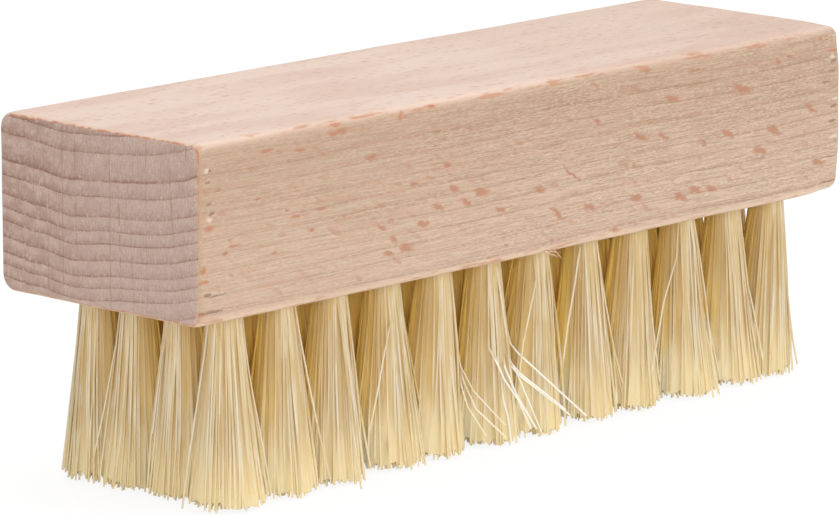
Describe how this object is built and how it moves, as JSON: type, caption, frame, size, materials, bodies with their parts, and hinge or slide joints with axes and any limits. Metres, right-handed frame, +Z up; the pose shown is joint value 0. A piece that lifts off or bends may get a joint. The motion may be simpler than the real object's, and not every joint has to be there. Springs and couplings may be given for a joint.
{
  "type": "hand cleaning brush",
  "caption": "Small rectangular beech scrubbing brush with a grid of stiff pale fibre tufts set in blind holes in its underside.",
  "frame": {"origin": "on the plane of the trimmed bristle tips, under the middle of the block", "axes": "+X along the block, +Z up through the block's flat back; -Y is the long side that the picture shows"},
  "size_m": [0.12, 0.035, 0.0465],
  "materials": {
    "beech_wood": "sanded, unvarnished",
    "bristle_fibre": "stiff natural fibre, slight sheen"
  },
  "bodies": {
    "root": {"handle_block": "beech_wood", "tuft_row_1_col_01": "bristle_fibre", "tuft_row_1_col_02": "bristle_fibre", "tuft_row_1_col_03": "bristle_fibre", "tuft_row_1_col_04": "bristle_fibre", "tuft_row_1_col_05": "bristle_fibre", "tuft_row_1_col_06": "bristle_fibre", "tuft_row_1_col_07": "bristle_fibre", "tuft_row_1_col_08": "bristle_fibre", "tuft_row_1_col_09": "bristle_fibre", "tuft_row_1_col_10": "bristle_fibre", "tuft_row_1_col_11": "bristle_fibre", "tuft_row_1_col_12": "bristle_fibre", "tuft_row_2_col_01": "bristle_fibre", "tuft_row_2_col_02": "bristle_fibre", "tuft_row_2_col_03": "bristle_fibre", "tuft_row_2_col_04": "bristle_fibre", "tuft_row_2_col_05": "bristle_fibre", "tuft_row_2_col_06": "bristle_fibre", "tuft_row_2_col_07": "bristle_fibre", "tuft_row_2_col_08": "bristle_fibre", "tuft_row_2_col_09": "bristle_fibre", "tuft_row_2_col_10": "bristle_fibre", "tuft_row_2_col_11": "bristle_fibre", "tuft_row_2_col_12": "bristle_fibre", "tuft_row_3_col_01": "bristle_fibre", "tuft_row_3_col_02": "bristle_fibre", "tuft_row_3_col_03": "bristle_fibre", "tuft_row_3_col_04": "bristle_fibre", "tuft_row_3_col_05": "bristle_fibre", "tuft_row_3_col_06": "bristle_fibre", "tuft_row_3_col_07": "bristle_fibre", "tuft_row_3_col_08": "bristle_fibre", "tuft_row_3_col_09": "bristle_fibre", "tuft_row_3_col_10": "bristle_fibre", "tuft_row_3_col_11": "bristle_fibre", "tuft_row_3_col_12": "bristle_fibre", "tuft_row_4_col_01": "bristle_fibre", "tuft_row_4_col_02": "bristle_fibre", "tuft_row_4_col_03": "bristle_fibre", "tuft_row_4_col_04": "bristle_fibre", "tuft_row_4_col_05": "bristle_fibre", "tuft_row_4_col_06": "bristle_fibre", "tuft_row_4_col_07": "bristle_fibre", "tuft_row_4_col_08": "bristle_fibre", "tuft_row_4_col_09": "bristle_fibre", "tuft_row_4_col_10": "bristle_fibre", "tuft_row_4_col_11": "bristle_fibre", "tuft_row_4_col_12": "bristle_fibre"}
  },
  "joints": []
}
